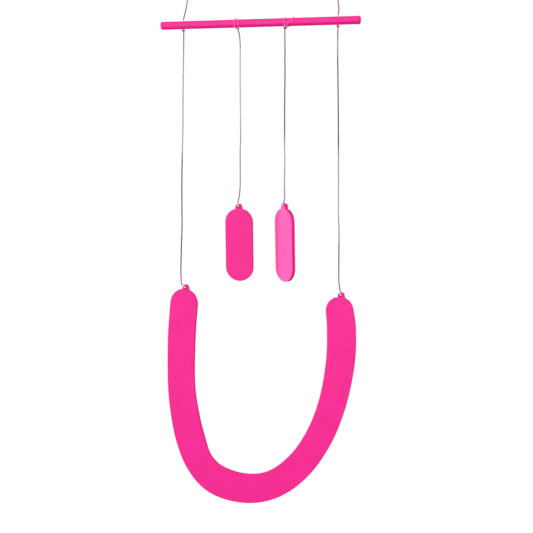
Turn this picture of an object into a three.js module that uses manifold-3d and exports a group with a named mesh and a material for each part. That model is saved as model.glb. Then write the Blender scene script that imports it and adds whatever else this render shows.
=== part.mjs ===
// A hanging mobile: a round rod carries a smile and two eyes on thin nylon line.
// The smile and the eyes are cut from sheet, and all but the line is painted one pink.
// Millimetres, +Z up, +X to the right along the rod, and the flat fronts face -Y.
// The origin is midway between the two hanging loops, at the height where a hook bears on them.

import * as THREE from 'three';
import { mergeVertices } from 'three/addons/utils/BufferGeometryUtils.js';
import Module from 'manifold-3d';

// Rod
const rodLength = 262;
const rodDiameter = 10;
const rodEdge = 1.4;
const rodSides = 32;
const rodMiddle = -4;
const rodDrop = 56;

// Where the lines are tied, along the rod from its middle
const leftTie = -100.2;
const leftEyeTie = -25.7;
const rightEyeTie = 36.6;
const rightTie = 103.3;
const rodBore = 2.2;
const boreSides = 12;

// Sheet that the smile and the eyes are cut from
const sheetThickness = 5;
const sheetEdge = 0.6;

// Ears: a round tab with one hole, on top of each eye and of each arm of the smile
const earRadius = 4.2;
const earHole = 3;
const earRise = 1.8;
const earFillet = 4.2;
const earSteps = 8;
const holeSides = 12;

// Eyes: upright plates with round ends
const eyeWidth = 37;
const eyeHeight = 96;
const eyeArcSteps = 18;
const leftEyeMiddle = -26.4;
const rightEyeMiddle = 35.2;
const leftEyeDrop = 233.5;
const rightEyeDrop = 231.5;
const leftEyeTilt = 0.6;
const rightEyeTilt = 1.8;
const rightEyeTurn = 38.5;

// Smile: a band that follows a free centre line from one ear round to the other
const smileDrop = 344.3;
const smileMiddle = 4.6;
const smileEarSpacing = 213.4;
const smileDepth = 276;
const smileBand = 39;
const leftArmCap = 0.523;
const rightArmCap = 0.471;
const smileSteps = 6;
const capSteps = 10;

// The centre line between the arms' ends: across as a share of half the ear spacing, down as a share of
// the depth, and the band there as a share of its plain width
const leftArmEnd = { across: -1.025, band: 0.985 };
const rightArmEnd = { across: 0.982, band: 0.918 };
const smileCentreLine = [
  { across: -1.064, down: 0.25, band: 0.995 },
  { across: -1.077, down: 0.469, band: 0.988 },
  { across: -1.044, down: 0.615, band: 1.03 },
  { across: -0.965, down: 0.762, band: 1.078 },
  { across: -0.84, down: 0.886, band: 1.04 },
  { across: -0.606, down: 0.968, band: 1.108 },
  { across: -0.224, down: 0.996, band: 1.055 },
  { across: 0.15, down: 0.959, band: 0.966 },
  { across: 0.48, down: 0.853, band: 0.938 },
  { across: 0.738, down: 0.699, band: 0.924 },
  { across: 0.908, down: 0.519, band: 0.928 },
  { across: 0.999, down: 0.319, band: 0.962 },
  { across: 1.007, down: 0.161, band: 0.963 },
];

// Line, its knots, and the clearance it keeps from what it passes or is tied round
const lineDiameter = 1.6;
const lineSides = 8;
const lineGap = 0.3;
const knotRadius = 1.9;
const knotSides = 8;
const wrapSteps = 18;

// How far round the rod the eyes' knots sit, from underneath towards the front
const eyeKnotTurn = 35;

// Where a line meets an ear: it comes down in front, bends into the hole, and ends in a knot behind
const earLead = 7;
const earBend = 2.8;
const earBendOut = 0.95;
const earBendRise = 3.2;
const earBendSteps = 4;
const earKnotBehind = 5;

// Hanging loops, one at the top of each long line
const hangSpacing = 190;
const hangLoopHeight = 18;
const hangLoopWidth = 9;
const hangLoopSteps = 14;
const leftHangLean = 5.4;
const rightHangLean = -6.3;

// How each line strays from straight: [share of its length, millimetres to the right], top to bottom
const leftDropSway = [
  [0.058, 0], [0.111, -0.1], [0.247, -0.3], [0.368, -0.1], [0.45, -0.5], [0.545, -0.9], [0.621, -0.8],
  [0.713, -0.4], [0.761, -0.1], [0.847, -0.8], [0.908, -1.2], [0.95, -1.3], [0.975, -1],
];
const leftEyeSway = [
  [0.028, 1.9], [0.056, 2.8], [0.085, 3.3], [0.113, 3.5], [0.181, 3.3], [0.294, 3.3], [0.408, 3.5],
  [0.524, 3.7], [0.64, 3.7], [0.698, 3.2], [0.815, 3.2], [0.904, 3.1], [0.951, 2.3], [0.98, 1.2],
];
const rightEyeSway = [
  [0.029, -0.4], [0.064, -0.2], [0.128, 0], [0.212, 0.1], [0.295, 0.3], [0.38, 0.2], [0.464, 0.2],
  [0.548, 0.3], [0.617, 0.4], [0.692, 0.5], [0.751, 0.9], [0.864, 0.7], [0.934, 0.9], [0.963, 1.1],
];
const rightDropSway = [
  [0.012, -0.4], [0.057, -0.8], [0.118, -0.9], [0.178, -0.8], [0.271, -0.7], [0.365, -0.7], [0.459, -0.8],
  [0.574, -1], [0.707, -1.4], [0.758, -0.9], [0.874, -1.3], [0.933, -1.5], [0.969, -1.4],
];
const leftHangSway = [[0.25, 0.2], [0.5, 0.4], [0.58, 0.3], [0.68, -0.1], [0.775, 0.1]];
const rightHangSway = [[0.08, 0.5], [0.19, 1.1], [0.34, 1], [0.45, 0.8], [0.565, 0.6], [0.8, 0.2]];

// How far each line leans to the left of upright where it meets its ear
const leftLean = 39;
const leftEyeLean = 1;
const rightEyeLean = -33;
const rightLean = 7;

const pinkPaint = new THREE.MeshStandardMaterial({ color: '#fa3898', roughness: 0.5, metalness: 0 });
const nylon = new THREE.MeshStandardMaterial({ color: '#b6adc4', roughness: 0.3, metalness: 0 });

const wasm = await Module();
wasm.setup();

const degrees = THREE.MathUtils.degToRad;
const rodAxisZ = -rodDrop;
const wrapRadius = rodDiameter / 2 + lineGap + lineDiameter / 2;
const knotFromRod = rodDiameter / 2 + lineGap + knotRadius;

function solidOf(geometry) {
  const bare = geometry.clone();
  bare.deleteAttribute('normal');
  bare.deleteAttribute('uv');
  const merged = mergeVertices(bare, 1e-4);
  const mesh = new wasm.Mesh({
    numProp: 3,
    vertProperties: new Float32Array(merged.attributes.position.array),
    triVerts: new Uint32Array(merged.index.array),
  });
  return new wasm.Manifold(mesh);
}

function geometryOf(solid) {
  const mesh = solid.getMesh();
  const geometry = new THREE.BufferGeometry();
  geometry.setAttribute('position', new THREE.BufferAttribute(mesh.vertProperties, 3));
  geometry.setIndex(new THREE.BufferAttribute(mesh.triVerts, 1));
  geometry.computeVertexNormals();
  return geometry;
}

function joined(geometries) {
  const [first, ...rest] = geometries.map(solidOf);
  return geometryOf(rest.reduce((whole, piece) => whole.add(piece), first));
}

// Sheet pieces

// Replaces the stretch of a counterclockwise outline that passes a hole by an ear round that hole
function withEar(outline, hole) {
  const reach = earRadius + earFillet;
  const isNear = outline.map((point) => point.distanceTo(hole) < reach);
  const last = outline.length - 1;
  const leaving = isNear.findIndex((near, i) => near && !isNear[i === last ? 0 : i + 1]);
  const turned = [...outline.slice(leaving + 1), ...outline.slice(0, leaving + 1)];
  const plain = turned.filter((point) => point.distanceTo(hole) >= reach);
  const entry = plain[plain.length - 1];
  const exit = plain[0];
  const rightSide = new THREE.Vector2(hole.x + earRadius, hole.y);
  const leftSide = new THREE.Vector2(hole.x - earRadius, hole.y);
  const rightCorner = new THREE.Vector2(rightSide.x, Math.max(entry.y, hole.y - earRadius));
  const leftCorner = new THREE.Vector2(leftSide.x, Math.max(exit.y, hole.y - earRadius));
  const fillet = (from, corner, to) => {
    const bend = new THREE.QuadraticBezierCurve(from, corner, to);
    return bend.getPoints(earSteps / 2);
  };
  const ear = [...fillet(entry, rightCorner, rightSide).slice(1)];
  for (let i = 1; i < earSteps; i += 1) {
    const angle = Math.PI * (i / earSteps);
    ear.push(new THREE.Vector2(hole.x + earRadius * Math.cos(angle), hole.y + earRadius * Math.sin(angle)));
  }
  ear.push(...fillet(leftSide, leftCorner, exit).slice(0, -1));
  return [...plain, ...ear];
}

// Cuts a plate from the sheet, upright and with its middle in the plane y = 0
function cutPlate(outline, holes) {
  const shape = new THREE.Shape(outline);
  for (const hole of holes) {
    const rim = new THREE.Path();
    rim.absarc(hole.x, hole.y, earHole / 2, 0, Math.PI * 2, true);
    shape.holes.push(new THREE.Path(rim.getSpacedPoints(holeSides).slice(0, -1)));
  }
  const plate = new THREE.ExtrudeGeometry(shape, {
    depth: sheetThickness - 2 * sheetEdge,
    bevelThickness: sheetEdge,
    bevelSize: sheetEdge,
    bevelOffset: -sheetEdge,
    bevelSegments: 1,
  });
  plate.translate(0, 0, sheetEdge - sheetThickness / 2);
  plate.rotateX(Math.PI / 2);
  return plate;
}

function eyeGeometry() {
  const hole = new THREE.Vector2(0, 0);
  const endRadius = eyeWidth / 2;
  const upperCentre = -earRise - endRadius;
  const lowerCentre = -earRise - eyeHeight + endRadius;
  const outline = [];
  for (const [centre, start] of [[upperCentre, 0], [lowerCentre, Math.PI]]) {
    for (let i = 0; i <= eyeArcSteps; i += 1) {
      const angle = start + Math.PI * (i / eyeArcSteps);
      outline.push(new THREE.Vector2(endRadius * Math.cos(angle), centre + endRadius * Math.sin(angle)));
    }
  }
  return cutPlate(withEar(outline, hole), [hole]);
}

function smileGeometry() {
  const halfSpacing = smileEarSpacing / 2;
  const placeOf = (station) => new THREE.Vector2(station.across * halfSpacing, -station.down * smileDepth);
  const centres = smileCentreLine.map(placeOf);
  const endAt = (end, cap) => new THREE.Vector2(end.across * halfSpacing, -earRise - cap * smileBand);
  const ends = [endAt(leftArmEnd, leftArmCap), endAt(rightArmEnd, rightArmCap)];
  const line = new THREE.SplineCurve([ends[0], ...centres, ends[1]]);
  const stations = [leftArmEnd, ...smileCentreLine, rightArmEnd];
  const bands = stations.map((station) => new THREE.Vector2(station.band * smileBand, 0));
  const band = new THREE.SplineCurve(bands);
  const count = smileSteps * (bands.length - 1);
  const outer = [];
  const inner = [];
  for (let i = 0; i <= count; i += 1) {
    const along = line.getTangent(i / count);
    const across = new THREE.Vector2(-along.y, along.x).multiplyScalar(band.getPoint(i / count).x / 2);
    outer.push(line.getPoint(i / count).sub(across));
    inner.push(line.getPoint(i / count).add(across));
  }
  // A rounded arm end, from one side of the band round to the other
  const armEnd = (from, to, along, reach) => {
    const middle = from.clone().lerp(to, 0.5);
    const side = from.clone().sub(middle);
    const points = [];
    for (let i = 1; i < capSteps; i += 1) {
      const angle = Math.PI * (i / capSteps);
      const point = middle.clone().addScaledVector(side, Math.cos(angle));
      points.push(point.addScaledVector(along, Math.sin(angle) * reach));
    }
    return points;
  };
  const rightEnd = armEnd(outer[count], inner[count], line.getTangent(1), rightArmCap * smileBand);
  const leftEnd = armEnd(inner[0], outer[0], line.getTangent(0).negate(), leftArmCap * smileBand);
  const band2D = [...outer, ...rightEnd, ...inner.reverse(), ...leftEnd];
  const holes = [new THREE.Vector2(-halfSpacing, 0), new THREE.Vector2(halfSpacing, 0)];
  return cutPlate(holes.reduce(withEar, band2D), holes);
}

// Rod

function rodGeometry() {
  const radius = rodDiameter / 2;
  const half = rodLength / 2;
  const profile = [new THREE.Vector2(0, -half)];
  const corner = (y, start) => {
    for (const turn of [0, 0.5, 1]) {
      const angle = start + (Math.PI / 2) * turn;
      const out = radius - rodEdge + rodEdge * Math.cos(angle);
      profile.push(new THREE.Vector2(out, y + rodEdge * Math.sin(angle)));
    }
  };
  corner(rodEdge - half, -Math.PI / 2);
  corner(half - rodEdge, 0);
  profile.push(new THREE.Vector2(0, half));
  const rod = new THREE.LatheGeometry(profile, rodSides);
  rod.rotateZ(-Math.PI / 2);
  const bored = [leftTie, rightTie].reduce((solid, x) => {
    const bore = new THREE.CylinderGeometry(rodBore / 2, rodBore / 2, rodDiameter * 1.2, boreSides);
    bore.rotateX(Math.PI / 2);
    bore.translate(x, 0, 0);
    return solid.subtract(solidOf(bore));
  }, solidOf(rod));
  return geometryOf(bored);
}

// Lines

const lineSection = new THREE.Shape(
  Array.from({ length: lineSides }, (_, i) => {
    const angle = (Math.PI * 2 * i) / lineSides;
    return new THREE.Vector2(Math.cos(angle), Math.sin(angle)).multiplyScalar(lineDiameter / 2);
  }),
);

// A smooth path that gives each stretch between two points the same number of steps, so bends get more
class LinePath extends THREE.CatmullRomCurve3 {
  getUtoTmapping(u) {
    return u;
  }
}

function lineAlong(points) {
  const steps = 2 * (points.length - 1);
  return new THREE.ExtrudeGeometry(lineSection, {
    steps,
    extrudePath: new LinePath(points),
    bevelEnabled: false,
  });
}

function knotAt(point) {
  const knot = new THREE.SphereGeometry(knotRadius, knotSides, knotSides - 2);
  knot.translate(point.x, point.y, point.z);
  return knot;
}

// The points of a line from one place to the next, strayed sideways from straight
function routeOf(start, end, sway) {
  const strayed = sway.map(([share, side]) => {
    const point = start.clone().lerp(end, share);
    point.x += side;
    return point;
  });
  return [start, ...strayed, end];
}

// The points of a line down in front of an ear, round into its hole, and to the knot behind it
function throughEar(hole, leanDegrees, turn) {
  const vertical = new THREE.Vector3(0, 0, 1);
  const lean = degrees(leanDegrees);
  const front = new THREE.Vector3(0, -1, 0).applyAxisAngle(vertical, turn);
  const up = new THREE.Vector3(-Math.sin(lean), 0, Math.cos(lean)).applyAxisAngle(vertical, turn);
  const at = (out, rise) => hole.clone().addScaledVector(front, out).addScaledVector(up, rise);
  const points = [at(earBendOut + earBend, earLead), at(earBendOut + earBend, (earLead + earBendRise) / 2)];
  for (let i = 0; i <= earBendSteps; i += 1) {
    const angle = (Math.PI / 2) * (i / earBendSteps);
    points.push(at(earBendOut + earBend * Math.cos(angle), earBendRise - earBend * Math.sin(angle)));
  }
  const straight = earBendRise - earBend;
  points.push(at(-sheetThickness / 2, straight), at(-earKnotBehind, straight));
  return points;
}

// A loop of line that leaves a knot and comes back to it, level at its top
function hangingLoop(knot, up) {
  const gap = Math.asin((lineDiameter * 1.3) / hangLoopWidth);
  const points = [];
  for (let i = 0; i <= hangLoopSteps; i += 1) {
    const angle = gap + (2 * Math.PI - 2 * gap) * (i / hangLoopSteps);
    const point = knot.clone().addScaledVector(up, ((1 - Math.cos(angle)) * hangLoopHeight) / 2);
    point.x += (Math.sin(angle) * hangLoopWidth) / 2;
    points.push(point);
  }
  return lineAlong(points);
}

// A long line: a loop for a hook, down through the rod to a knot that carries it, and on down to an arm
// of the smile
function longLine(tieX, side, hangSway, hangLean, dropSway, hole, earLean) {
  const tilt = degrees(hangLean);
  const up = new THREE.Vector3(Math.sin(tilt), 0, Math.cos(tilt));
  const seat = new THREE.Vector3((side * hangSpacing) / 2, 0, lineDiameter / 2);
  const loopKnot = seat.clone().addScaledVector(up, -hangLoopHeight);
  const overRod = new THREE.Vector3(tieX, 0, rodAxisZ + rodDiameter / 2 + knotRadius);
  const inRod = new THREE.Vector3(tieX, 0, rodAxisZ);
  const rodKnot = new THREE.Vector3(tieX, 0, rodAxisZ - knotFromRod);
  const ear = throughEar(hole, earLean, 0);
  return [
    hangingLoop(loopKnot, up),
    knotAt(loopKnot),
    knotAt(rodKnot),
    knotAt(ear[ear.length - 1]),
    lineAlong([
      ...routeOf(overRod, loopKnot, hangSway).reverse(),
      inRod,
      ...routeOf(rodKnot, ear[0], dropSway),
      ...ear.slice(1),
    ]),
  ];
}

// An eye's line: round the rod, knotted low in front of it, and down to the eye
function eyeLine(tieX, dropSway, hole, earLean, turn = 0) {
  const wrap = new THREE.TorusGeometry(wrapRadius, lineDiameter / 2, lineSides, wrapSteps);
  wrap.rotateY(Math.PI / 2);
  wrap.translate(tieX, 0, rodAxisZ);
  const low = degrees(eyeKnotTurn);
  const under = new THREE.Vector3(0, -Math.sin(low), -Math.cos(low)).multiplyScalar(knotFromRod);
  const rodKnot = new THREE.Vector3(tieX, 0, rodAxisZ).add(under);
  const ear = throughEar(hole, earLean, turn);
  return [
    wrap,
    knotAt(rodKnot),
    knotAt(ear[ear.length - 1]),
    lineAlong([...routeOf(rodKnot, ear[0], dropSway), ...ear.slice(1)]),
  ];
}

// Assembly

const mobile = new THREE.Group();

function addPiece(name, geometry, material, position = new THREE.Vector3(), tilt = 0, turn = 0) {
  const mesh = new THREE.Mesh(geometry, material);
  mesh.name = name;
  mesh.position.copy(position);
  mesh.rotation.set(0, -degrees(tilt), -degrees(turn), 'ZYX');
  mobile.add(mesh);
}

const alongRod = (place) => rodMiddle + place;
const below = (x, drop) => new THREE.Vector3(x, 0, rodAxisZ - drop);
const leftEyeHole = below(alongRod(leftEyeMiddle), leftEyeDrop);
const rightEyeHole = below(alongRod(rightEyeMiddle), rightEyeDrop);
const smileCentre = below(alongRod(smileMiddle), smileDrop);
const leftArmHole = below(smileCentre.x - smileEarSpacing / 2, smileDrop);
const rightArmHole = below(smileCentre.x + smileEarSpacing / 2, smileDrop);

addPiece('rod', rodGeometry(), pinkPaint, new THREE.Vector3(rodMiddle, 0, rodAxisZ));
addPiece('left_eye', eyeGeometry(), pinkPaint, leftEyeHole, leftEyeTilt);
addPiece('right_eye', eyeGeometry(), pinkPaint, rightEyeHole, rightEyeTilt, rightEyeTurn);
addPiece('smile', smileGeometry(), pinkPaint, smileCentre);

addPiece('left_line', joined(
  longLine(alongRod(leftTie), -1, leftHangSway, leftHangLean, leftDropSway, leftArmHole, leftLean),
), nylon);
addPiece('right_line', joined(
  longLine(alongRod(rightTie), 1, rightHangSway, rightHangLean, rightDropSway, rightArmHole, rightLean),
), nylon);
addPiece('left_eye_line', joined(
  eyeLine(alongRod(leftEyeTie), leftEyeSway, leftEyeHole, leftEyeLean),
), nylon);
addPiece('right_eye_line', joined(
  eyeLine(alongRod(rightEyeTie), rightEyeSway, rightEyeHole, rightEyeLean, -degrees(rightEyeTurn)),
), nylon);

export default mobile;
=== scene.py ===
"""A pink hanging mobile: a rod carries two eyes and a smile, cut from sheet, on thin nylon line.

Lengths are in millimetres up to the point where a mesh or a curve is made, and in metres from there on.
"""

import math

import bmesh
import bpy
from mathutils import Matrix, Vector


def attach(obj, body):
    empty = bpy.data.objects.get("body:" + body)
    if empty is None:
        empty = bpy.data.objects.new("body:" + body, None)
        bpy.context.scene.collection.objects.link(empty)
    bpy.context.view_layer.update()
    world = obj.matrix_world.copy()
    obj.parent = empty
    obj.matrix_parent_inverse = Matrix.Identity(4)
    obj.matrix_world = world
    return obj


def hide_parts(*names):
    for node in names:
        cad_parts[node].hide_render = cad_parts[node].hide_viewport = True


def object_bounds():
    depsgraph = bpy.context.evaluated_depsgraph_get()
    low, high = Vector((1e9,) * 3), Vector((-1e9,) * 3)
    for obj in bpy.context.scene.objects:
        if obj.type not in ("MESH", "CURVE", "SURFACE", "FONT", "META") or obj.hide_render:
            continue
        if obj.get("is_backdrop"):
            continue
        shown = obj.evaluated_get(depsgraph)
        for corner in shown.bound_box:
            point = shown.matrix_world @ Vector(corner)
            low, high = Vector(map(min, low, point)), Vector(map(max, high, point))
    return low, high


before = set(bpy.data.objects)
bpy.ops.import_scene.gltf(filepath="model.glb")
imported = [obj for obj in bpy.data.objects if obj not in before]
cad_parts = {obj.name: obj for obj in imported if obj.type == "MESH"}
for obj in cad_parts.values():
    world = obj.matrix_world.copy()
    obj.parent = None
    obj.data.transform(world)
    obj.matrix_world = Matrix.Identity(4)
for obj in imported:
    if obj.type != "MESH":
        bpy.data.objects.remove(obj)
cad_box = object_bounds()

MM = 0.001

# Rod
ROD_LENGTH = 262
ROD_RADIUS = 5
ROD_MIDDLE = -4
ROD_HEIGHT = -56
ROD_EDGE = 1.4
ROD_BORE = 1.1

# Sheet that the plates are cut from
SHEET = 5
SHEET_EDGE = 0.45

# Ears, each a round tab with one hole
EAR_RADIUS = 4.2
EAR_HOLE = 1.5
EAR_RISE = 1.8
EAR_FILLET = 4.2
EAR_STEPS = 24

# Eyes
EYE_WIDTH = 37
EYE_HEIGHT = 96
EYE_STEPS = 48
LEFT_EYE_TILT = 0.6
RIGHT_EYE_TILT = 1.8
RIGHT_EYE_TURN = 38.5
LEFT_EYE_HOLE = Vector((-30.4, 0, -289.5))
RIGHT_EYE_HOLE = Vector((31.2, 0, -287.5))

# Smile
SMILE_CENTRE = Vector((0.6, 0, -400.3))
SMILE_EAR_SPACING = 213.4
SMILE_DEPTH = 276
SMILE_BAND = 39
LEFT_ARM_CAP = 0.523
RIGHT_ARM_CAP = 0.471
SMILE_STEPS = 14
CAP_STEPS = 30

# The band's centre line from the left arm's end to the right arm's end: across as a share of half the ear
# spacing, down as a share of the depth, and the band's width there as a share of its plain width. How far
# down the two ends are follows from their caps.
SMILE_CENTRE_LINE = [
    (-1.025, None, 0.985), (-1.064, 0.25, 0.995), (-1.077, 0.469, 0.988), (-1.044, 0.615, 1.03),
    (-0.965, 0.762, 1.078), (-0.84, 0.886, 1.04), (-0.606, 0.968, 1.108), (-0.224, 0.996, 1.055),
    (0.15, 0.959, 0.966), (0.48, 0.853, 0.938), (0.738, 0.699, 0.924), (0.908, 0.519, 0.928),
    (0.999, 0.319, 0.962), (1.007, 0.161, 0.963), (0.982, None, 0.918),
]

# Nylon line
LINE = 1.6
LEFT_TIE = -104.2
LEFT_EYE_TIE = -29.7
RIGHT_EYE_TIE = 32.6
RIGHT_TIE = 99.3
KNOT_FROM_ROD = 7.2
EYE_KNOT_TURN = 35
TURN_RADIUS = 5.85
OVER_ROD = 1.9

# Knots: how far out the wound line lies and how close its turns are, as shares of its thickness, and the
# length of the cut end left standing out and how far it leans, in radians
KNOT_COIL = 0.86
KNOT_PITCH = 0.92
TAG_LENGTH = 3.4
TAG_LEAN = 1.1

# Where a line meets an ear: it comes down in front, bends into the hole, and ends in a knot behind
EAR_LEAD = 7
EAR_BEND = 2.8
EAR_BEND_OUT = 0.95
EAR_BEND_RISE = 3.2
EAR_KNOT_BEHIND = 4.3

# Hanging loops
HANG_SPACING = 190
HANG_LOOP_HEIGHT = 18
HANG_LOOP_WIDTH = 9

# How each line strays from straight: share of its length and millimetres to the right, top to bottom
LEFT_DROP_SWAY = [
    (0.058, 0), (0.111, -0.1), (0.247, -0.3), (0.368, -0.1), (0.45, -0.5), (0.545, -0.9), (0.621, -0.8),
    (0.713, -0.4), (0.761, -0.1), (0.847, -0.8), (0.908, -1.2), (0.95, -1.3), (0.975, -1),
]
LEFT_EYE_SWAY = [
    (0.028, 1.9), (0.056, 2.8), (0.085, 3.3), (0.113, 3.5), (0.181, 3.3), (0.294, 3.3), (0.408, 3.5),
    (0.524, 3.7), (0.64, 3.7), (0.698, 3.2), (0.815, 3.2), (0.904, 3.1), (0.951, 2.3), (0.98, 1.2),
]
RIGHT_EYE_SWAY = [
    (0.029, -0.4), (0.064, -0.2), (0.128, 0), (0.212, 0.1), (0.295, 0.3), (0.38, 0.2), (0.464, 0.2),
    (0.548, 0.3), (0.617, 0.4), (0.692, 0.5), (0.751, 0.9), (0.864, 0.7), (0.934, 0.9), (0.963, 1.1),
]
RIGHT_DROP_SWAY = [
    (0.012, -0.4), (0.057, -0.8), (0.118, -0.9), (0.178, -0.8), (0.271, -0.7), (0.365, -0.7), (0.459, -0.8),
    (0.574, -1), (0.707, -1.4), (0.758, -0.9), (0.874, -1.3), (0.933, -1.5), (0.969, -1.4),
]
LEFT_HANG_SWAY = [(0.25, 0.2), (0.5, 0.4), (0.58, 0.3), (0.68, -0.1), (0.775, 0.1)]
RIGHT_HANG_SWAY = [(0.08, 0.5), (0.19, 1.1), (0.34, 1), (0.45, 0.8), (0.565, 0.6), (0.8, 0.2)]

# How an eye line's two turns lie along the rod: degrees round it from underneath, towards the front, and
# millimetres to the right of the tie
LEFT_EYE_TURNS = [(50, 0.7), (85, 0.8), (144, -0.75), (180, -1.2), (270, -2.6), (360, -3.8), (446, -4.3),
                  (540, -4.5), (630, -3.2), (700, -1.2), (748, 0)]
RIGHT_EYE_TURNS = [(50, -0.9), (80, -1.05), (118, -1.2), (180, -1.3), (270, -1), (360, -0.2), (394, 0.3),
                   (437, 4.9), (475, 8.9), (540, 10.2), (600, 8.5), (660, 4.6), (715, 1.2), (748, 0)]


def set_camera():
    """The photograph's viewpoint: a little above the middle and to the right, looking down 8.8 degrees."""
    lens = bpy.data.cameras.new("viewpoint")
    lens.lens = 63.49
    lens.sensor_width = 36
    viewpoint = bpy.data.objects.new("viewpoint", lens)
    viewpoint.location = (0.34449, -1.16963, -0.17833)
    viewpoint.rotation_euler = (math.radians(90 - 8.8007), 0, math.radians(16.0861))
    bpy.context.scene.collection.objects.link(viewpoint)
    bpy.context.scene.camera = viewpoint


# Finishes


class Reading:
    """A value that a node gives. Sums on it add Math nodes."""

    def __init__(self, finish, socket):
        self.finish = finish
        self.socket = socket

    def sum(self, operation, *values):
        return self.finish.node("Math", {"operation": operation}, dict(enumerate(values)))

    def __add__(self, other):
        return self.sum("ADD", self, other)

    __radd__ = __add__

    def __sub__(self, other):
        return self.sum("SUBTRACT", self, other)

    def __rsub__(self, other):
        return self.sum("SUBTRACT", other, self)

    def __mul__(self, other):
        return self.sum("MULTIPLY", self, other)

    def __abs__(self):
        return self.sum("ABSOLUTE", self)

    def over(self, low, high, start=0.0, end=1.0):
        """Goes from start to end as the value goes from low to high, and stays there."""
        return self.finish.node(
            "MapRange",
            {"interpolation_type": "SMOOTHSTEP"},
            {0: self, 1: low, 2: high, 3: start, 4: end},
        )


class Finish:
    """The nodes of a material or of the surroundings."""

    def __init__(self, owner):
        owner.use_nodes = True
        self.owner = owner
        self.nodes = owner.node_tree.nodes
        self.links = owner.node_tree.links

    def node(self, kind, settings=None, values=None, output=0):
        """Adds a node with its settings, and values or readings on its sockets. Gives one output."""
        made = self.nodes.new("ShaderNode" + kind)
        for name, setting in (settings or {}).items():
            setattr(made, name, setting)
        for place, value in (values or {}).items():
            self.set(made.inputs[place], value)
        return Reading(self, made.outputs[output])

    def set(self, socket, value):
        if isinstance(value, Reading):
            self.links.new(value.socket, socket)
        else:
            socket.default_value = value

    def surface(self, **values):
        """Sets sockets of the surface shader, named with low lines for spaces."""
        shader = self.nodes["Principled BSDF"]
        for name, value in values.items():
            self.set(shader.inputs[name.replace("_", " ")], value)

    def part(self, where, axis):
        """One coordinate of a place."""
        return self.node("SeparateXYZ", {}, {0: where}, output=axis)

    def from_point(self, where, point):
        """How far a place is from a point."""
        return self.node("VectorMath", {"operation": "DISTANCE"}, {0: where, 1: point}, output="Value")

    def place(self, scale=(1, 1, 1), turn=0):
        """Where a point is on the object, turned about the vertical and stretched for a pattern."""
        where = self.node("TexCoord", output="Object")
        turned = self.node("Mapping", {"vector_type": "POINT"}, {"Vector": where, "Rotation": (0, 0, turn)})
        return self.node("Mapping", {"vector_type": "POINT"}, {"Vector": turned, "Scale": scale})

    def speckle(self, place, scale, detail=2.0, roughness=0.5):
        return self.node(
            "TexNoise",
            {"noise_dimensions": "3D"},
            {"Vector": place, "Scale": scale, "Detail": detail, "Roughness": roughness},
        )

    def tint(self, share, first, second):
        """Blends two colours by a share."""
        return self.node("Mix", {"data_type": "RGBA"}, {0: share, 6: first, 7: second}, output=2)

    def relief(self, height, depth, strength=1.0, under=None):
        """Turns a height into a bumpy surface, depth metres from low to high."""
        values = {"Height": height, "Distance": depth, "Strength": strength}
        if under:
            values["Normal"] = under
        return self.node("Bump", {}, values)


PINK = (0.82, 0.004, 0.253, 1)
PINK_DEEP = (0.785, 0.003, 0.235, 1)
# Painted shade on the cut edges
PINK_EDGE_SHADE = (0.78, 0.0005, 0.16, 1)
PINK_THIN = (0.92, 0.03, 0.32, 1)
# Painted sheen on the turned eye's front
PINK_SHEEN = (0.91, 0.066, 0.375, 1)
# How far above and below its ends a stretch of painted shade on a line fades, in millimetres
STRETCH_FADE = 12

# The dark and light ends of the line's painted shade
LINE_DARK = (0.02, 0.006, 0.1, 1)
LINE_LIGHT = (0.5, 0.42, 0.6, 1)
# Painted pink reflection close to the paint, then painted light where the line lies on the rod and at the
# ears
LINE_PINK_REFLECTION = (0.26, 0.07, 0.23, 1)
LINE_LIT_ON_ROD = (0.95, 0.2, 0.5, 1)
LINE_LIT_AT_EAR = (0.9, 0.62, 0.86, 1)


def painted_sheet(name, edge_shade, turn=0.0, pale=None):
    """Satin pink paint, rolled on to cut sheet: finely stippled, a little worn and painted shaded on the
    edges.

    The second argument is how much painted shade the cut edges get. The last is the middle of a plate whose
    front gets a painted sheen, paler towards its right, in metres, once the turn is undone.
    """
    middle = pale or Vector((0, 0, 0))
    finish = Finish(bpy.data.materials.new(name))
    where = finish.place(turn=turn)
    cloud = finish.speckle(where, 28, 3)
    stipple = finish.speckle(finish.place((1, 0.12, 1), turn), 1300, 3, 0.6)
    roll = finish.speckle(finish.place((1, 1, 0.25), turn), 240, 2)
    body = finish.tint(cloud.over(0.35, 0.65), PINK, PINK_DEEP)
    across = finish.part(where, "X") - middle.x
    back = finish.part(where, "Y") - middle.y
    # Painted sheen: the front of the turned plate paler towards its right
    if pale:
        share = across.over(-0.018, -0.002) * back.over(-0.0024, -0.0016, 1, 0)
        body = finish.tint(share * (cloud * 0.3 + 0.8), body, PINK_SHEEN)
    edge = abs(back).over(0.00236, 0.00247, 1, 0)
    worn = edge * finish.speckle(where, 420, 4).over(0.55, 0.75)
    # Painted shade on the cut edges, as much as the second argument says, then their real wear
    sides = finish.tint(worn * 0.3, finish.tint(edge * edge_shade, body, PINK_EDGE_SHADE), PINK_THIN)
    finish.surface(
        Base_Color=sides,
        Roughness=0.44 + cloud * 0.08 + stipple * 0.08 + edge * 0.1,
        Normal=finish.relief(stipple, 0.00004, 0.6, finish.relief(roll, 0.00012, 0.35)),
        Specular_IOR_Level=0.33,
    )
    return finish.owner


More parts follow.
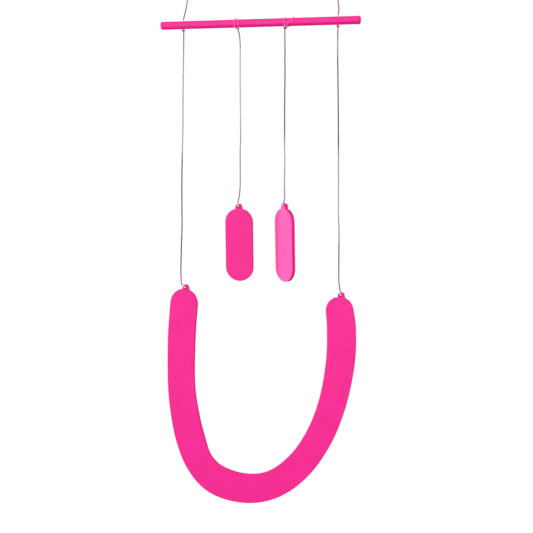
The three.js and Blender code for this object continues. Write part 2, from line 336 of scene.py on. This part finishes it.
def painted_rod():
    """The same paint on a round rod, with the wood's grain running along it."""
    finish = Finish(bpy.data.materials.new("painted_rod"))
    where = finish.place()
    cloud = finish.speckle(where, 30, 3)
    stipple = finish.speckle(where, 1300, 3, 0.6)
    grain = finish.speckle(finish.place((0.05, 1, 1)), 700, 4, 0.6)
    body = finish.tint(cloud.over(0.35, 0.65), PINK, PINK_DEEP)
    finish.surface(
        Base_Color=finish.tint(grain.over(0.55, 0.8) * 0.25, body, PINK_DEEP),
        Roughness=0.38 + cloud * 0.08 + grain * 0.12,
        Normal=finish.relief(stipple, 0.00003, 0.5, finish.relief(grain, 0.00012, 0.5)),
        Specular_IOR_Level=0.4,
    )
    return finish.owner


def nylon(name, painted_shade, see_through, shaded_stretches=()):
    """Mauve nylon line, lighter and darker along its length: cloudy, with painted shade and sheen. Close to
    the paint it gets a painted pink reflection, and on the rod and at the ears it is painted lighter pink
    for light.

    The second argument is its painted shade, how far it goes from the light to the dark colour. Each shaded
    stretch is its lower and upper end, in millimetres, and how much more painted shade it gets there.
    """
    finish = Finish(bpy.data.materials.new(name))
    where = finish.place()
    height = finish.part(where, "Z")
    right_ear = SMILE_CENTRE + Vector((SMILE_EAR_SPACING / 2, 0, 0))
    left_ear = SMILE_CENTRE - Vector((SMILE_EAR_SPACING / 2, 0, 0))
    from_rod = abs(height - ROD_HEIGHT * MM)
    from_ear = from_rod + 1
    for ear in (LEFT_EYE_HOLE, RIGHT_EYE_HOLE, left_ear, right_ear):
        from_ear = from_ear.sum("MINIMUM", from_ear, finish.from_point(where, ear * MM))
    on_rod = from_rod.over(0.0062, 0.007, 1, 0)
    at_ear = from_ear.over(0.004, 0.008, 1, 0)
    by_paint = from_rod.sum("MINIMUM", from_rod, from_ear).over(0.009, 0.04, 1, 0)
    cloud = finish.speckle(finish.place((0.2, 0.2, 1)), 22, 2)
    fine = finish.speckle(finish.place((1, 1, 0.15)), 600, 2)
    # Painted shade: each line's own amount, with cloudiness and painted sheen along it, and its shaded
    # stretches
    shade = cloud * 0.6 - 0.3 + fine * 0.2 - 0.1 + painted_shade
    for low, high, more in shaded_stretches:
        above = height.over((low - STRETCH_FADE) * MM, (low + STRETCH_FADE) * MM)
        below = height.over((high - STRETCH_FADE) * MM, (high + STRETCH_FADE) * MM, 1, 0)
        shade = shade + above * below * more
    # Painted pink reflection close to the rod and the ears
    near = finish.tint(by_paint, finish.tint(shade, LINE_LIGHT, LINE_DARK), LINE_PINK_REFLECTION)
    # Painted light: lighter pink where the line lies on the rod and at the ears
    finish.surface(
        Base_Color=finish.tint(at_ear, finish.tint(on_rod, near, LINE_LIT_ON_ROD), LINE_LIT_AT_EAR),
        Roughness=0.34 + fine * 0.14,
        Alpha=1 - on_rod * see_through,
        Normal=finish.relief(fine, 0.00002, 0.3),
        IOR=1.53,
        Specular_IOR_Level=0.08,
    )
    return finish.owner


# Lines and knots


def between(table, place):
    """Reads a table of pairs at a place between two of them."""
    for (start, low), (end, high) in zip(table, table[1:]):
        share = (place - start) / (end - start)
        if share <= 1:
            break
    return low + (high - low) * share


def turns_round_rod(tie, table):
    """The line's turns round the rod, from underneath, with how they lie along it."""
    first, last = table[0][0], table[-1][0]
    steps = round((last - first) / 20)
    points = []
    for i in range(steps + 1):
        angle = first + (last - first) * i / steps
        turned = math.radians(angle)
        points.append(Vector((
            tie + between(table, angle),
            -TURN_RADIUS * math.sin(turned),
            ROD_HEIGHT - TURN_RADIUS * math.cos(turned),
        )))
    return points


def strayed(start, end, sway):
    """Points of a line between two knots, without the knots themselves."""
    return [start.lerp(end, share) + Vector((side, 0, 0)) for share, side in sway]


def through_ear(hole, lean, turn):
    """From the knot behind an ear, through its hole, round a bend and up in front of it."""
    up = leaning(lean, turn)
    front = facing(turn)
    steps = 4
    straight = EAR_BEND_RISE - EAR_BEND
    points = [(-EAR_KNOT_BEHIND, straight), (-2.6, straight), (-0.8, straight)]
    for i in range(steps + 1):
        angle = math.pi / 2 * (1 - i / steps)
        points.append((
            EAR_BEND_OUT + EAR_BEND * math.cos(angle),
            EAR_BEND_RISE - EAR_BEND * math.sin(angle),
        ))
    points.append((EAR_BEND_OUT + EAR_BEND, (EAR_LEAD + EAR_BEND_RISE) / 2))
    points.append((EAR_BEND_OUT + EAR_BEND, EAR_LEAD))
    return [hole + front * out + up * rise for out, rise in points]


def hanging_loop(knot, up):
    """A pointed loop for a hook, up from its knot, over the top and down to the knot again."""
    points = []
    steps = 16
    for i in range(1, steps):
        angle = math.tau * i / steps
        out = HANG_LOOP_WIDTH * 0.65 * math.sin(angle) * math.sin(angle / 2)
        points.append(knot + Vector((out, 0, 0)) + up * HANG_LOOP_HEIGHT / 2 * (1 - math.cos(angle)))
    return points


def laid_line(name, points, finish):
    """One length of line through the points."""
    curve = bpy.data.curves.new(name, "CURVE")
    curve.dimensions = "3D"
    curve.bevel_depth = LINE / 2 * MM
    curve.bevel_resolution = 3
    curve.resolution_u = 6
    curve.use_fill_caps = True
    spline = curve.splines.new("BEZIER")
    spline.bezier_points.add(len(points) - 1)
    for bend, point in zip(spline.bezier_points, points):
        bend.co = point * MM
        bend.handle_left_type = "AUTO"
        bend.handle_right_type = "AUTO"
    curve.materials.append(finish)
    line = bpy.data.objects.new(name, curve)
    bpy.context.scene.collection.objects.link(line)
    return line


def tie_knot(bm, middle, up, turns, tag_turn):
    """A barrel knot: the line wound round itself a few times, with its short cut end left standing out."""
    coil = LINE * KNOT_COIL
    pitch = LINE * KNOT_PITCH
    around = up.to_track_quat("Z", "X").to_matrix().to_4x4()
    place = Matrix.Translation(middle * MM) @ around
    start = place @ Matrix.Translation((coil * MM, 0, -pitch * turns / 2 * MM))
    section = start @ Matrix.Rotation(math.pi / 2, 4, "X")
    ring = bmesh.ops.create_circle(bm, segments=12, radius=LINE / 2 * MM, matrix=section)["verts"]
    edges = list({edge for vert in ring for edge in vert.link_edges})
    steps = 20 * turns
    bmesh.ops.spin(
        bm,
        geom=[*ring, *edges],
        cent=middle * MM,
        axis=up,
        dvec=up * (pitch * turns / steps * MM),
        angle=math.tau * turns,
        steps=steps,
    )
    lean = Matrix.Rotation(tag_turn, 4, "Z") @ Matrix.Rotation(TAG_LEAN, 4, "Y")
    tag = place @ Matrix.Translation((0, 0, pitch * turns / 2 * MM - 0.0006)) @ lean
    bmesh.ops.create_cone(
        bm,
        cap_ends=True,
        segments=12,
        radius1=LINE * 0.48 * MM,
        radius2=LINE * 0.45 * MM,
        depth=TAG_LENGTH * MM,
        matrix=tag @ Matrix.Translation((0, 0, TAG_LENGTH / 2 * MM)),
    )
    open_edges = [edge for edge in bm.edges if edge.is_boundary]
    bmesh.ops.holes_fill(bm, edges=open_edges, sides=0)


def mesh_piece(name, bm, finish, flat_faces=()):
    """A finished piece: smooth all over but for its flat faces."""
    for face in bm.faces:
        face.smooth = face not in flat_faces
    mesh = bpy.data.meshes.new(name)
    bm.to_mesh(mesh)
    bm.free()
    mesh.materials.append(finish)
    piece = bpy.data.objects.new(name, mesh)
    bpy.context.scene.collection.objects.link(piece)
    return piece


def knots_on_line(name, places, finish):
    """All the knots of one line, as one piece: for each its middle, direction, turns and its tag's turn."""
    bm = bmesh.new()
    for middle, up, turns, tag_turn in places:
        tie_knot(bm, middle, up, turns, tag_turn)
    bmesh.ops.recalc_face_normals(bm, faces=bm.faces)
    return mesh_piece(name, bm, finish)


def leaning(degrees_left, turn=0.0):
    """Upright, leant to the left, then turned about the vertical."""
    lean = math.radians(degrees_left)
    return Matrix.Rotation(turn, 3, "Z") @ Vector((-math.sin(lean), 0, math.cos(lean)))


def facing(turn=0.0):
    """Straight out of a plate's front."""
    return Matrix.Rotation(turn, 3, "Z") @ Vector((0, -1, 0))


def hang_smile(name, side, tie, drop_sway, ear_lean, hang_sway, hang_lean, finishes):
    """A long line: from an arm of the smile up to the rod, on through it, and up to its loop for a hook."""
    hole = SMILE_CENTRE + Vector((side * SMILE_EAR_SPACING / 2, 0, 0))
    up = Vector((0, 0, 1))
    hang_up = leaning(-hang_lean)
    loop_knot = Vector((side * HANG_SPACING / 2, 0, LINE / 2)) - hang_up * HANG_LOOP_HEIGHT
    in_rod = Vector((tie, 0, ROD_HEIGHT))
    rod_knot = in_rod - up * KNOT_FROM_ROD
    over_rod = in_rod + up * (ROD_RADIUS + OVER_ROD)
    ear = through_ear(hole, ear_lean, 0)
    points = [
        *ear,
        *reversed(strayed(rod_knot, ear[-1], drop_sway)),
        rod_knot,
        in_rod,
        over_rod,
        *strayed(over_rod, loop_knot, hang_sway),
        loop_knot - hang_up * 2,
        *hanging_loop(loop_knot, hang_up),
        loop_knot + Vector((0.5, 0, 0)) - hang_up * 1,
    ]
    knots = [
        (ear[0] + facing() * 0.2, facing(), 2, 2.4),
        (rod_knot + up * 0.6, up, 1, 0.6),
        (loop_knot - hang_up * 0.4, hang_up, 3, 0.4),
    ]
    declare(name, points, knots, finishes)


def hang_eye(name, tie, turns, sway, hole, ear_lean, turn, knot_turns, finishes):
    """An eye's line: from its ear up to the rod, twice round it, and back into its own knot."""
    low = math.radians(EYE_KNOT_TURN)
    rod_knot = Vector((tie, -KNOT_FROM_ROD * math.sin(low), ROD_HEIGHT - KNOT_FROM_ROD * math.cos(low)))
    ear = through_ear(hole, ear_lean, turn)
    points = [
        *ear,
        *reversed(strayed(rod_knot, ear[-1], sway)),
        rod_knot + Vector((turns[0][1] * 0.5, 0.35, -1.6)),
        rod_knot + Vector((turns[0][1] * 0.8, 0.55, 0.1)),
        *turns_round_rod(tie, turns),
    ]
    knots = [
        (ear[0] + facing(turn) * 0.2, facing(turn), 2, 2.4),
        (rod_knot + Vector((0, 0.3, -0.3)), Vector((0, 0.1, 1)).normalized(), knot_turns, 1.6),
    ]
    declare(name, points, knots, finishes)


def declare(node, points, knots, finishes):
    """Lays a line and its knots, hangs them on the root and hides the CAD part they stand in for."""
    line = laid_line(node + "_nylon", points, finishes[0])
    ties = knots_on_line(node + "_knots", knots, finishes[1])
    for piece in (line, ties):
        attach(piece, "root")
    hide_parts(node)
    length = sum((end - start).length for start, end in zip(points, points[1:])) * MM


def hang_everything():
    """Lays the four lines with their knots."""
    # Each line's painted shade, how much of the rod shows through it, and its stretches of painted shade
    tied = nylon("nylon_knots", 0.2, 0.4)
    left = nylon("left_nylon", 0.35, 0.68, [(-400, -222, 0.65)])
    right = nylon("right_nylon", 0.35, 0.68, [(-215, -95, 0.6), (-390, -330, 0.55)])
    left_eye = nylon("left_eye_nylon", 0.2, 0.68, [(-280, -200, 0.25)])
    right_eye = nylon("right_eye_nylon", 0.32, 0.68, [(-200, -80, 0.6)])
    hang_smile("left_line", -1, LEFT_TIE, LEFT_DROP_SWAY, 39, LEFT_HANG_SWAY, 5.4, (left, tied))
    hang_smile("right_line", 1, RIGHT_TIE, RIGHT_DROP_SWAY, 7, RIGHT_HANG_SWAY, -6.3, (right, tied))
    hang_eye("left_eye_line", LEFT_EYE_TIE, LEFT_EYE_TURNS, LEFT_EYE_SWAY, LEFT_EYE_HOLE, 1, 0.0,
             1, (left_eye, tied))
    hang_eye("right_eye_line", RIGHT_EYE_TIE, RIGHT_EYE_TURNS, RIGHT_EYE_SWAY, RIGHT_EYE_HOLE, -33,
             -math.radians(RIGHT_EYE_TURN), 3, (right_eye, tied))


# Plates


def spline_at(points, share):
    """A point on the smooth spline through the points, a share of the way along."""
    last = len(points) - 1
    i = min(int(share * last), last - 1)
    t = share * last - i
    before, start, end, after = (points[min(max(k, 0), last)] for k in (i - 1, i, i + 1, i + 2))
    leave = (end - before) / 2
    arrive = (after - start) / 2
    cubic = 2 * start - 2 * end + leave + arrive
    square = 3 * end - 3 * start - 2 * leave - arrive
    return cubic * t ** 3 + square * t ** 2 + leave * t + start


def heading_at(points, share):
    """The direction of that spline, a share of the way along."""
    return (spline_at(points, min(share + 1e-4, 1)) - spline_at(points, max(share - 1e-4, 0))).normalized()


def arc(centre, side, rise, steps):
    """Half an ellipse from centre + side over centre + rise to centre - side, without its two ends."""
    turns = [math.pi * i / steps for i in range(1, steps)]
    return [centre + side * math.cos(turn) + rise * math.sin(turn) for turn in turns]


def fillet(start, corner, end, steps):
    """A rounded inside corner, ends and all."""
    shares = [i / steps for i in range(steps + 1)]
    return [start * (1 - t) ** 2 + corner * 2 * t * (1 - t) + end * t ** 2 for t in shares]


def with_ear(outline, hole):
    """Puts an ear round a hole in place of the stretch of a counterclockwise outline that passes it."""
    reach = EAR_RADIUS + EAR_FILLET
    near = [(point - hole).length < reach for point in outline]
    leaving = next(i for i in range(len(outline)) if near[i] and not near[(i + 1) % len(outline)])
    turned = outline[leaving + 1:] + outline[:leaving + 1]
    plain = [point for point in turned if (point - hole).length >= reach]
    arriving, leaving_at = plain[-1], plain[0]
    right = hole + Vector((EAR_RADIUS, 0))
    left = hole - Vector((EAR_RADIUS, 0))
    right_corner = Vector((right.x, max(arriving.y, hole.y - EAR_RADIUS)))
    left_corner = Vector((left.x, max(leaving_at.y, hole.y - EAR_RADIUS)))
    ear = [
        *fillet(arriving, right_corner, right, EAR_STEPS // 3)[1:],
        *arc(hole, Vector((EAR_RADIUS, 0)), Vector((0, EAR_RADIUS)), EAR_STEPS),
        *fillet(left, left_corner, leaving_at, EAR_STEPS // 3)[:-1],
    ]
    return plain + ear


def eye_outline():
    """An upright shape with round ends, its ear's hole at the origin."""
    radius = EYE_WIDTH / 2
    top = Vector((0, -EAR_RISE - radius))
    bottom = Vector((0, -EAR_RISE - EYE_HEIGHT + radius))
    side = Vector((radius, 0))
    rise = Vector((0, radius))
    upper = [top + side, *arc(top, side, rise, EYE_STEPS), top - side]
    lower = [bottom - side, *arc(bottom, -side, -rise, EYE_STEPS), bottom + side]
    return upper + lower


def smile_outline():
    """The band round its centre line, closed by a rounded end on each arm."""
    half = SMILE_EAR_SPACING / 2
    caps = (LEFT_ARM_CAP * SMILE_BAND, RIGHT_ARM_CAP * SMILE_BAND)
    centres = [Vector((across * half, -(down or 0) * SMILE_DEPTH)) for across, down, _ in SMILE_CENTRE_LINE]
    centres[0].y = -EAR_RISE - caps[0]
    centres[-1].y = -EAR_RISE - caps[1]
    bands = [Vector((band * SMILE_BAND, 0)) for *_, band in SMILE_CENTRE_LINE]
    count = SMILE_STEPS * (len(bands) - 1)
    outer = []
    inner = []
    for i in range(count + 1):
        share = i / count
        along = heading_at(centres, share)
        across = Vector((-along.y, along.x)) * (spline_at(bands, share).x / 2)
        outer.append(spline_at(centres, share) - across)
        inner.append(spline_at(centres, share) + across)
    right_middle = (outer[-1] + inner[-1]) / 2
    left_middle = (outer[0] + inner[0]) / 2
    right_end = arc(right_middle, outer[-1] - right_middle, heading_at(centres, 1) * caps[1], CAP_STEPS)
    left_end = arc(left_middle, inner[0] - left_middle, -heading_at(centres, 0) * caps[0], CAP_STEPS)
    return [*outer, *right_end, *reversed(inner), *left_end]


def drill(piece, bit):
    """Takes the bit's shape out of a piece, and the bit away."""
    drilling = piece.modifiers.new("drilled", "BOOLEAN")
    drilling.operation = "DIFFERENCE"
    drilling.solver = "EXACT"
    drilling.object = bit
    drilled = bpy.data.meshes.new_from_object(piece.evaluated_get(bpy.context.evaluated_depsgraph_get()))
    piece.modifiers.clear()
    piece.data = drilled
    bpy.data.objects.remove(bit)


def ear_bit(holes):
    """A spool at each hole, flared where it leaves the plate so that the hole's rim comes out rounded."""
    bm = bmesh.new()
    half = SHEET / 2
    for hole in holes:
        profile = [(EAR_HOLE + 1.3, -half - 0.6), (EAR_HOLE, -half + 0.1), (EAR_HOLE, half - 0.1),
                   (EAR_HOLE + 1.3, half + 0.6)]
        verts = [bm.verts.new(Vector((hole.x + out, y, hole.y)) * MM) for out, y in profile]
        edges = [bm.edges.new(pair) for pair in zip(verts, verts[1:])]
        bent = bmesh.ops.bevel(
            bm,
            geom=verts[1:-1],
            offset=0.5 * MM,
            segments=4,
            profile=0.5,
            affect="VERTICES",
            material=-1,
        )
        line = {vert for edge in edges if edge.is_valid for vert in edge.verts} | set(bent["verts"])
        geometry = [*line, *{edge for vert in line for edge in vert.link_edges}]
        bmesh.ops.spin(
            bm,
            geom=geometry,
            cent=Vector((hole.x, 0, hole.y)) * MM,
            axis=(0, 1, 0),
            angle=math.tau,
            steps=36,
            use_merge=True,
        )
        bmesh.ops.remove_doubles(bm, verts=bm.verts, dist=1e-6)
        bmesh.ops.holes_fill(bm, edges=[edge for edge in bm.edges if edge.is_boundary], sides=0)
    bmesh.ops.recalc_face_normals(bm, faces=bm.faces)
    return bm


def cut_plate(name, outline, holes, place, finish):
    """Cuts a plate from the sheet, rounds its edges, drills its ears and sets it in its place."""
    bm = bmesh.new()
    corners = [bm.verts.new(Vector((point.x, -SHEET / 2, point.y)) * MM) for point in outline]
    front = bm.faces.new(corners)
    grown = bmesh.ops.extrude_face_region(bm, geom=[front])["geom"]
    back = [part for part in grown if isinstance(part, bmesh.types.BMVert)]
    bmesh.ops.translate(bm, vec=(0, SHEET * MM, 0), verts=back)
    bmesh.ops.recalc_face_normals(bm, faces=bm.faces)
    broad = sorted(bm.faces, key=lambda face: -len(face.verts))[:2]
    rims = list({edge for face in broad for edge in face.edges})
    bmesh.ops.bevel(
        bm,
        geom=rims,
        offset=SHEET_EDGE * MM,
        segments=4,
        profile=0.5,
        affect="EDGES",
        material=-1,
    )
    flat = sorted(bm.faces, key=lambda face: -len(face.verts))[:2]
    plate = mesh_piece(name, bm, finish, flat)
    drill(plate, mesh_piece(name + "_bit", ear_bit(holes), finish))
    plate.data.transform(place)
    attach(plate, "root")
    return plate


def cut_plates():
    """The two eyes and the smile."""
    hole = Vector((0, 0))
    eye = with_ear(eye_outline(), hole)
    left_place = Matrix.Translation(LEFT_EYE_HOLE * MM)
    left_place @= Matrix.Rotation(-math.radians(LEFT_EYE_TILT), 4, "Y")
    right_place = Matrix.Translation(RIGHT_EYE_HOLE * MM)
    right_place @= Matrix.Rotation(-math.radians(RIGHT_EYE_TURN), 4, "Z")
    right_place @= Matrix.Rotation(-math.radians(RIGHT_EYE_TILT), 4, "Y")
    # The second argument is how much painted shade each plate's cut edges get
    straight = painted_sheet("painted_sheet", 0.3)
    unturned = Matrix.Rotation(math.radians(RIGHT_EYE_TURN), 3, "Z") @ RIGHT_EYE_HOLE * MM
    # The turned eye's front also gets a painted sheen, paler towards its right
    turned = painted_sheet("turned_sheet_painted_sheen", 0.95, math.radians(RIGHT_EYE_TURN), unturned)
    left = cut_plate("left_eye_plate", eye, [hole], left_place, straight)
    right = cut_plate("right_eye_plate", eye, [hole], right_place, turned)
    holes = [Vector((-SMILE_EAR_SPACING / 2, 0)), Vector((SMILE_EAR_SPACING / 2, 0))]
    band = with_ear(with_ear(smile_outline(), holes[0]), holes[1])
    smile = cut_plate("smile_plate", band, holes, Matrix.Translation(SMILE_CENTRE * MM), straight)
    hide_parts("left_eye")
    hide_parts("right_eye")
    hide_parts("smile")


def bore_bit():
    """A drill for the rod's two upright holes, straight through."""
    bm = bmesh.new()
    for tie in (LEFT_TIE, RIGHT_TIE):
        place = Matrix.Translation(Vector((tie, 0, ROD_HEIGHT)) * MM)
        bmesh.ops.create_cone(
            bm,
            cap_ends=True,
            segments=32,
            radius1=ROD_BORE * MM,
            radius2=ROD_BORE * MM,
            depth=ROD_RADIUS * 2.4 * MM,
            matrix=place,
        )
    return bm


def turn_rod():
    """The round rod, its ends' edges rounded over, bored through for the two long lines."""
    bm = bmesh.new()
    half = ROD_LENGTH / 2
    profile = [(-half, 0), (-half, ROD_RADIUS), (half, ROD_RADIUS), (half, 0)]
    verts = [bm.verts.new(Vector((ROD_MIDDLE + x, 0, ROD_HEIGHT + out)) * MM) for x, out in profile]
    for pair in zip(verts, verts[1:]):
        bm.edges.new(pair)
    bmesh.ops.bevel(
        bm,
        geom=verts[1:-1],
        offset=ROD_EDGE * MM,
        segments=5,
        profile=0.5,
        affect="VERTICES",
        material=-1,
    )
    bmesh.ops.spin(
        bm,
        geom=[*bm.verts, *bm.edges],
        cent=Vector((0, 0, ROD_HEIGHT)) * MM,
        axis=(1, 0, 0),
        angle=math.tau,
        steps=72,
        use_merge=True,
    )
    bmesh.ops.remove_doubles(bm, verts=bm.verts, dist=1e-6)
    bmesh.ops.recalc_face_normals(bm, faces=bm.faces)
    finish = painted_rod()
    ends = [face for face in bm.faces if abs(face.normal.x) > 0.999]
    rod = mesh_piece("rod_painted", bm, finish, ends)
    drill(rod, mesh_piece("rod_bit", bore_bit(), finish))
    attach(rod, "root")
    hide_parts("rod")


# Surroundings

FLOOR_RADIUS = 0.7
FLOOR_HEIGHT = -1.08
WHITE = (1, 1, 1, 1)


def lay_floor():
    """A small pale floor, well below the smile, that fades out round its rim."""
    bm = bmesh.new()
    place = Matrix.Translation((0, 0, FLOOR_HEIGHT))
    bmesh.ops.create_circle(bm, cap_ends=True, segments=96, radius=FLOOR_RADIUS, matrix=place)
    finish = Finish(bpy.data.materials.new("pale_floor"))
    from_middle = finish.from_point(finish.place((1, 1, 0)), (0, 0, 0))
    finish.surface(Base_Color=(0.93, 0.93, 0.93, 1), Roughness=0.8, Alpha=from_middle.over(0.2, 0.65, 1, 0))
    floor = mesh_piece("floor", bm, finish.owner)
    floor.visible_diffuse = False
    floor.visible_glossy = False
    floor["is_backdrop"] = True


def set_surroundings():
    """White all round to the eye. As light, a soft glow, dimmer from the ground, the back and the right."""
    world = bpy.data.worlds.new("studio")
    bpy.context.scene.world = world
    studio = Finish(world)
    direction = studio.node("TexCoord", output="Generated")
    brightest = Vector((-0.5, -0.75, 0.45)).normalized()
    product = {"operation": "DOT_PRODUCT"}
    turned = studio.node("VectorMath", product, {0: direction, 1: brightest}, output="Value")
    glow = studio.node("Background", {}, {"Color": WHITE, "Strength": turned.over(-0.5, 1, 0.16, 0.88)})
    white = studio.node("Background", {}, {"Color": WHITE, "Strength": 1})
    seen = studio.node("LightPath", output="Is Camera Ray")
    both = studio.node("MixShader", {}, {0: seen, 1: glow, 2: white})
    studio.set(studio.nodes["World Output"].inputs["Surface"], both)


def soft_light(name, place, towards, width, height, power, shines=True):
    """A large soft box, out of sight itself. One that doesn't shine isn't mirrored in the paint."""
    lamp = bpy.data.lights.new(name, "AREA")
    lamp.shape = "RECTANGLE"
    lamp.size = width
    lamp.size_y = height
    lamp.energy = power
    box = bpy.data.objects.new(name, lamp)
    box.location = place
    box.rotation_euler = (Vector(towards) - Vector(place)).to_track_quat("-Z", "Y").to_euler()
    box.visible_camera = False
    box.visible_glossy = shines
    bpy.context.scene.collection.objects.link(box)


def light_everything():
    middle = (0, 0, -0.35)
    soft_light("key", (-0.5, -2.3, -0.1), middle, 1.6, 1.6, 21)
    soft_light("right_side", (2.3, -0.6, -0.3), middle, 0.9, 1.6, 31, shines=False)
    soft_light("left_side", (-2.0, 0.0, -0.3), middle, 0.9, 1.6, 24)
    soft_light("back", (0.3, 2.3, 0.2), middle, 1.6, 1.6, 60, shines=False)
    soft_light("overhead", (0.1, -0.5, 1.5), (0, 0, 0), 1.4, 1.0, 5)


def tell_sizes():
    """Works out the CAD's box and this model's box."""
    boxes = {"cad": cad_box, "visual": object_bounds()}
    boxes = {name: [list(corner) for corner in box] for name, box in boxes.items()}


bpy.context.scene.view_settings.view_transform = "Standard"
set_camera()
hang_everything()
turn_rod()
cut_plates()
lay_floor()
set_surroundings()
light_everything()
tell_sizes()
